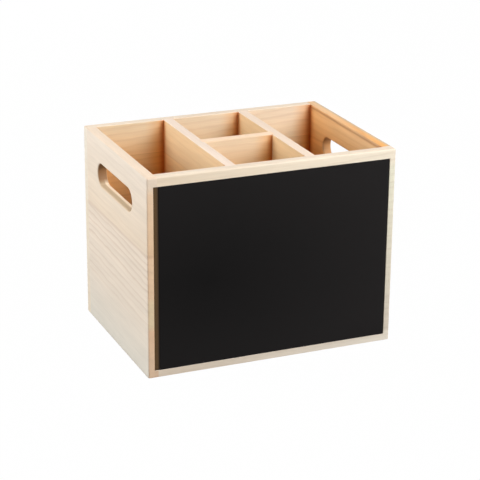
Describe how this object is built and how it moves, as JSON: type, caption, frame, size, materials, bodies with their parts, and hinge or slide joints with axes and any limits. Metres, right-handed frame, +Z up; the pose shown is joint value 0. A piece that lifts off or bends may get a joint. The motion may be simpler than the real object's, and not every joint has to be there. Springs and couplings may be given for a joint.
{
  "type": "utensil caddy",
  "caption": "Open-topped wooden utensil caddy with divided compartments, a rounded hand slot through each side and a black chalkboard let into the front.",
  "frame": {"origin": "centre of the underside of the box, on the surface that it stands on", "axes": "+X to the right across the front, +Y from the chalkboard front to the back, +Z up to the open rim"},
  "size_m": [0.25, 0.18, 0.195],
  "materials": {
    "pine": "bare, sanded, matt",
    "plywood": "bare, sanded, matt",
    "hardboard": "bare, pressed, matt",
    "chalk_black": "matt blackboard surface",
    "beech_dowel": "bare, turned",
    "bright_steel": "bright drawn wire"
  },
  "bodies": {
    "root": {"left_side": "pine", "right_side": "pine", "front_board": "pine", "back_board": "pine", "base_board": "plywood", "left_divider": "pine", "right_divider": "pine", "cross_divider": "pine", "panel_backing": "hardboard", "chalk_sheet": "chalk_black", "front_left_dowels": "beech_dowel", "front_right_dowels": "beech_dowel", "back_left_dowels": "beech_dowel", "back_right_dowels": "beech_dowel", "base_brads": "bright_steel"}
  },
  "joints": []
}
